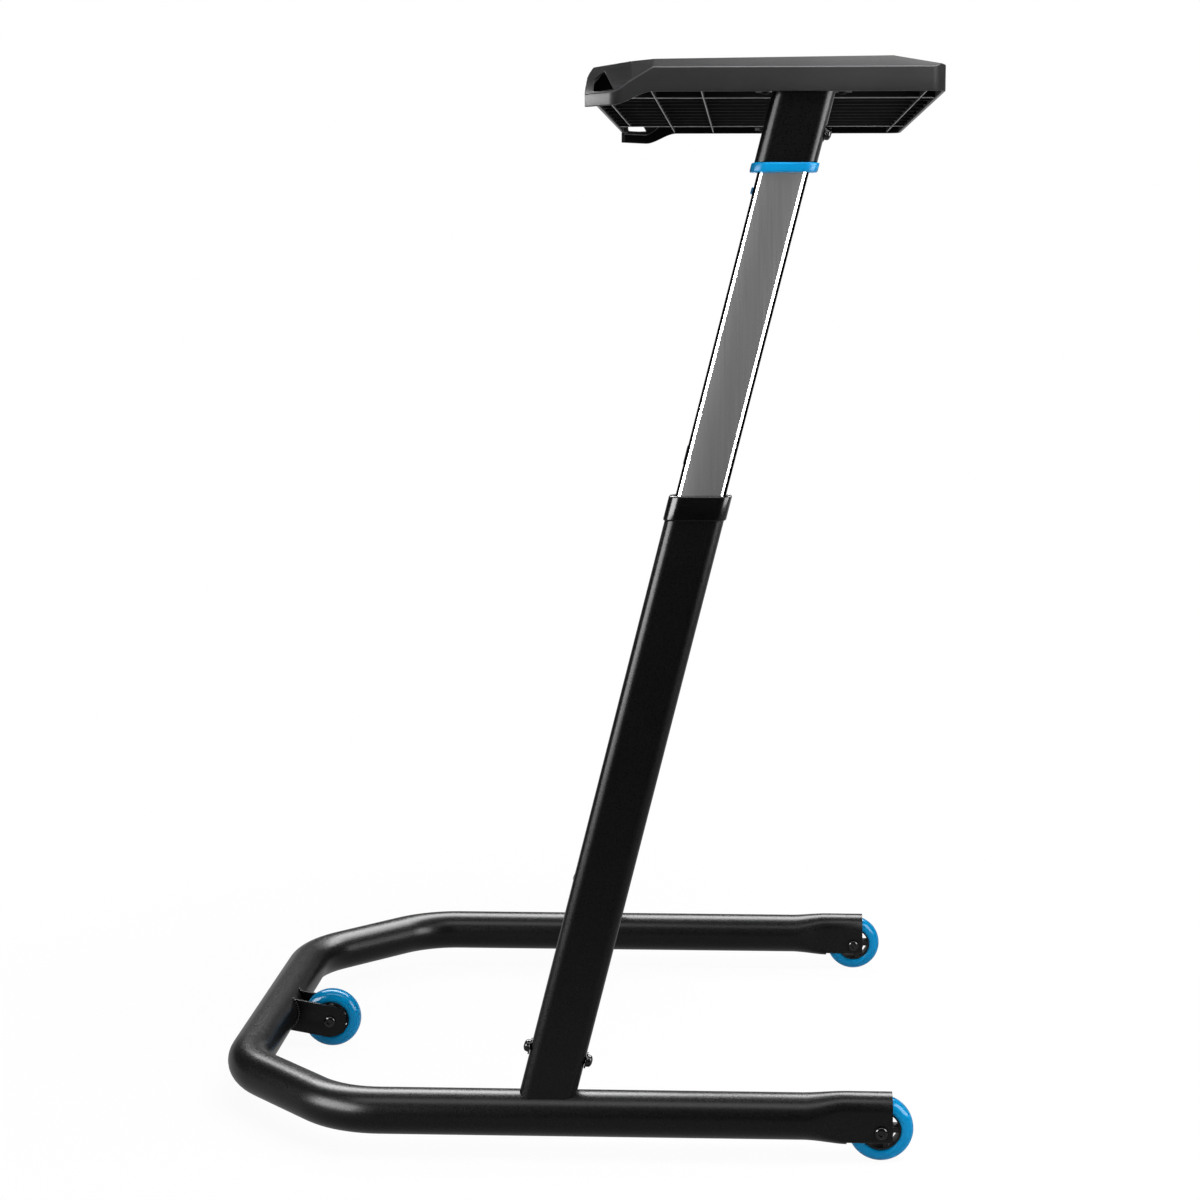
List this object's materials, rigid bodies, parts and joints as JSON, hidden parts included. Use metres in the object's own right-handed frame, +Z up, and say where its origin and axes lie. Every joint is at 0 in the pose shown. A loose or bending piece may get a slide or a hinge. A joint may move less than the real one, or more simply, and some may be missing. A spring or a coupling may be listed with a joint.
{
  "type": "bike trainer desk",
  "caption": "Height-adjustable desk for indoor cycling: a bent tube base on small wheels, two leaning telescopic posts and a moulded desktop.",
  "frame": {"origin": "middle of the footprint on the floor, with the desktop at the pictured height", "axes": "+X from the front tube towards the rider, +Y from the near leg to the far leg, +Z up"},
  "size_m": [0.8105, 0.7498, 1.1858],
  "materials": {
    "powder_coat": "satin black powder coat",
    "anodised_aluminium": "satin anodised, clear",
    "black_plastic": "fine texture, black",
    "textured_plastic": "moulded leather-grain texture, black",
    "blue_plastic": "semi-gloss, blue",
    "blue_polyurethane": "glossy cast polyurethane, blue",
    "black_steel": "black oxide",
    "bearing_steel": "ground steel",
    "nylon": "plain nylon"
  },
  "bodies": {
    "base": {"base_tube": "powder_coat", "front_wheel_plate_near": "powder_coat", "front_wheel_plate_far": "powder_coat", "near_post_stub": "powder_coat", "near_lower_post": "powder_coat", "near_foot_bolt_front": "black_steel", "near_foot_bolt_rear": "black_steel", "near_lower_collar": "black_plastic", "near_lock_boss": "powder_coat", "far_post_stub": "powder_coat", "far_lower_post": "powder_coat", "far_foot_bolt_front": "black_steel", "far_foot_bolt_rear": "black_steel", "far_lower_collar": "black_plastic", "far_lock_boss": "powder_coat", "near_rear_axle_barrel": "black_steel", "near_rear_axle_screw": "black_steel", "near_rear_axle_spacer_a": "black_steel", "near_rear_axle_spacer_b": "black_steel", "far_rear_axle_barrel": "black_steel", "far_rear_axle_screw": "black_steel", "far_rear_axle_spacer_a": "black_steel", "far_rear_axle_spacer_b": "black_steel", "front_axle_barrel": "black_steel", "front_axle_screw": "black_steel", "front_axle_spacer_a": "black_steel", "front_axle_spacer_b": "black_steel"},
    "top": {"desktop": "textured_plastic", "near_inner_post": "anodised_aluminium", "near_post_glide": "nylon", "near_post_insert": "black_steel", "near_upper_collar": "blue_plastic", "near_upper_sleeve": "powder_coat", "near_upper_bolt": "black_steel", "near_sleeve_plate": "powder_coat", "far_inner_post": "anodised_aluminium", "far_post_glide": "nylon", "far_post_insert": "black_steel", "far_upper_collar": "blue_plastic", "far_upper_sleeve": "powder_coat", "far_upper_bolt": "black_steel", "far_sleeve_plate": "powder_coat"},
    "near_wheel": {"near_rear_tyre": "blue_polyurethane", "near_rear_wheel_hub": "black_plastic", "near_rear_wheel_bearing_a": "bearing_steel", "near_rear_wheel_bearing_b": "bearing_steel"},
    "far_wheel": {"far_rear_tyre": "blue_polyurethane", "far_rear_wheel_hub": "black_plastic", "far_rear_wheel_bearing_a": "bearing_steel", "far_rear_wheel_bearing_b": "bearing_steel"},
    "front_wheel": {"front_tyre": "blue_polyurethane", "front_wheel_hub": "black_plastic", "front_wheel_bearing_a": "bearing_steel", "front_wheel_bearing_b": "bearing_steel"},
    "near_lock": {"near_lock_knob": "black_plastic", "near_lock_pad": "nylon"},
    "far_lock": {"far_lock_knob": "black_plastic", "far_lock_pad": "nylon"}
  },
  "joints": [
    {"name": "height_slide", "type": "slide", "parent": "base", "child": "top", "axis": [0.2445, 0, 0.9697], "range_m": [-0.335, 0.046]},
    {"name": "near_wheel_spin", "type": "hinge", "parent": "base", "child": "near_wheel", "pos_m": [0.3525, -0.35, 0.036], "axis": [0, 1, 0], "continuous": true},
    {"name": "far_wheel_spin", "type": "hinge", "parent": "base", "child": "far_wheel", "pos_m": [0.3525, 0.35, 0.036], "axis": [0, 1, 0], "continuous": true},
    {"name": "front_wheel_spin", "type": "hinge", "parent": "base", "child": "front_wheel", "pos_m": [-0.3151, 0, 0.036], "axis": [0, 1, 0], "continuous": true},
    {"name": "near_lock_turn", "type": "hinge", "parent": "base", "child": "near_lock", "pos_m": [0.1339, -0.32, 0.65], "axis": [0, 1, 0], "range_deg": [0, 360]},
    {"name": "far_lock_turn", "type": "hinge", "parent": "base", "child": "far_lock", "pos_m": [0.1339, 0.32, 0.65], "axis": [0, 1, 0], "range_deg": [0, 360]}
  ]
}
